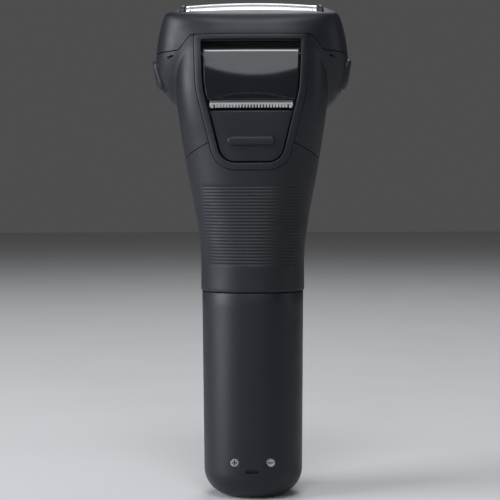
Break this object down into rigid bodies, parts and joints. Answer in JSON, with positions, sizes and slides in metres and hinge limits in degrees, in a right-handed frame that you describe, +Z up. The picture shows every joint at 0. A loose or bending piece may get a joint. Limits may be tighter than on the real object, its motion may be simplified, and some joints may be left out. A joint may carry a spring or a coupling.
{
  "type": "electric shaver",
  "caption": "Cordless foil shaver: round power handle, plug-on head with arched foils, flip-out toothed trimmer and side release buttons.",
  "frame": {"origin": "middle of the handle's flat base", "axes": "+Z up along the handle, -Y out of the trimmer side, +Y out of the power button side, +X across towards the minus contact"},
  "size_m": [0.0686, 0.0408, 0.1693],
  "materials": {
    "charcoal_plastic": "fine satin moulded charcoal",
    "grip_rubber": "soft matte charcoal grip",
    "gloss_plastic": "polished black",
    "black_plastic": "plain black moulding",
    "inner_plastic": "natural moulding",
    "blade_steel": "ground stainless",
    "contact_metal": "nickel plated",
    "spring_steel": "drawn wire",
    "brass": "machined",
    "cell_wrap": "shrink wrap",
    "board_green": "solder mask",
    "seal_rubber": "moulded ring",
    "lamp_plastic": "clear light guide"
  },
  "bodies": {
    "handle": {"handle_shell": "charcoal_plastic", "coupling_collar": "black_plastic", "collar_seal": "seal_rubber", "inner_chassis": "inner_plastic", "battery_cell": "cell_wrap", "battery_tab_bottom": "contact_metal", "battery_tab_top": "contact_metal", "circuit_board": "board_green", "control_chip": "black_plastic", "capacitor": "contact_metal", "drive_motor": "contact_metal", "power_switch": "black_plastic", "indicator_lamp": "lamp_plastic", "charge_contact_plus": "contact_metal", "charge_contact_minus": "contact_metal"},
    "power_button": {"power_button": "gloss_plastic"},
    "motor_rotor": {"motor_shaft": "blade_steel", "drive_dog": "black_plastic"},
    "head_unit": {"grip_shell": "grip_rubber", "neck_housing": "charcoal_plastic", "socket_ring": "black_plastic", "shaft_tube": "inner_plastic", "lower_bush": "brass", "upper_bush": "brass", "head_deck": "inner_plastic", "deck_screw_left": "spring_steel", "deck_screw_right": "spring_steel", "trimmer_bezel": "charcoal_plastic", "trimmer_tray": "black_plastic", "trimmer_hinge_pin": "spring_steel"},
    "drive_shaft": {"shaft_coupling": "black_plastic", "drive_shaft": "blade_steel", "crank_wheel": "black_plastic"},
    "oscillator": {"oscillator_bridge": "inner_plastic", "blade_spring_rear": "spring_steel", "blade_spring_centre": "spring_steel", "blade_spring_front": "spring_steel"},
    "inner_blade_rear": {"inner_blade_rear": "blade_steel"},
    "inner_blade_centre": {"inner_blade_centre": "blade_steel"},
    "inner_blade_front": {"inner_blade_front": "blade_steel"},
    "foil_frame": {"foil_frame": "charcoal_plastic", "foil_cassette": "black_plastic"},
    "foil_rear": {"foil_rear": "blade_steel"},
    "foil_centre": {"foil_centre": "blade_steel"},
    "foil_front": {"foil_front": "blade_steel"},
    "release_button_left": {"release_button_left": "charcoal_plastic"},
    "release_button_right": {"release_button_right": "charcoal_plastic"},
    "trimmer_slider": {"trimmer_slider": "charcoal_plastic"},
    "trimmer": {"trimmer_flap": "gloss_plastic", "trimmer_comb": "blade_steel"},
    "trimmer_cutter": {"trimmer_cutter": "blade_steel"}
  },
  "joints": [
    {"name": "power_button_press", "type": "slide", "parent": "handle", "child": "power_button", "axis": [0, -1, 0], "range_m": [0, 0.0006], "stiffness_N_per_m": 1200},
    {"name": "motor_spin", "type": "hinge", "parent": "handle", "child": "motor_rotor", "pos_m": [0, 0, 0.078], "axis": [0, 0, 1], "continuous": true},
    {"name": "head_release", "type": "slide", "parent": "handle", "child": "head_unit", "axis": [0, 0, 1], "range_m": [0, 0.016]},
    {"name": "drive_shaft_spin", "type": "hinge", "parent": "head_unit", "child": "drive_shaft", "pos_m": [0, 0, 0.084], "axis": [0, 0, 1], "continuous": true},
    {"name": "blade_oscillation", "type": "slide", "parent": "head_unit", "child": "oscillator", "axis": [1, 0, 0], "range_m": [-0.0012, 0.0012]},
    {"name": "inner_blade_rear_float", "type": "slide", "parent": "oscillator", "child": "inner_blade_rear", "axis": [0, 0, 1], "range_m": [-0.0015, 0], "deforming": ["blade_spring_rear"]},
    {"name": "inner_blade_centre_float", "type": "slide", "parent": "oscillator", "child": "inner_blade_centre", "axis": [0, 0, 1], "range_m": [-0.0015, 0], "deforming": ["blade_spring_centre"]},
    {"name": "inner_blade_front_float", "type": "slide", "parent": "oscillator", "child": "inner_blade_front", "axis": [0, 0, 1], "range_m": [-0.0015, 0], "deforming": ["blade_spring_front"]},
    {"name": "foil_frame_lift", "type": "slide", "parent": "head_unit", "child": "foil_frame", "axis": [0, 0, 1], "range_m": [0, 0.022]},
    {"name": "foil_rear_float", "type": "slide", "parent": "foil_frame", "child": "foil_rear", "axis": [0, 0, 1], "range_m": [-0.0015, 0], "stiffness_N_per_m": 600, "springref_m": 0.0005},
    {"name": "foil_centre_float", "type": "slide", "parent": "foil_frame", "child": "foil_centre", "axis": [0, 0, 1], "range_m": [-0.0015, 0], "stiffness_N_per_m": 600, "springref_m": 0.0005},
    {"name": "foil_front_float", "type": "slide", "parent": "foil_frame", "child": "foil_front", "axis": [0, 0, 1], "range_m": [-0.0015, 0], "stiffness_N_per_m": 600, "springref_m": 0.0005},
    {"name": "release_button_left_press", "type": "slide", "parent": "head_unit", "child": "release_button_left", "axis": [1, 0, 0], "range_m": [0, 0.0015], "stiffness_N_per_m": 800},
    {"name": "release_button_right_press", "type": "slide", "parent": "head_unit", "child": "release_button_right", "axis": [-1, 0, 0], "range_m": [0, 0.0015], "stiffness_N_per_m": 800},
    {"name": "trimmer_slide", "type": "slide", "parent": "head_unit", "child": "trimmer_slider", "axis": [0, 0, 1], "range_m": [0, 0.006]},
    {"name": "trimmer_pop", "type": "hinge", "parent": "head_unit", "child": "trimmer", "pos_m": [0, -0.0171, 0.1513], "axis": [-1, 0, 0], "range_deg": [0, 50]},
    {"name": "trimmer_cutter_slide", "type": "slide", "parent": "trimmer", "child": "trimmer_cutter", "axis": [1, 0, 0], "range_m": [-0.0007, 0.0007]}
  ],
  "couplings": [
    {"joint": "drive_shaft_spin", "follows": "motor_spin", "ratio": 1},
    {"joint": "inner_blade_rear_float", "follows": "foil_rear_float", "ratio": 1},
    {"joint": "inner_blade_centre_float", "follows": "foil_centre_float", "ratio": 1},
    {"joint": "inner_blade_front_float", "follows": "foil_front_float", "ratio": 1},
    {"joint": "trimmer_pop", "follows": "trimmer_slide", "rad_per_m": 145.4},
    {"joint": "trimmer_cutter_slide", "follows": "blade_oscillation", "ratio": 0.58}
  ]
}
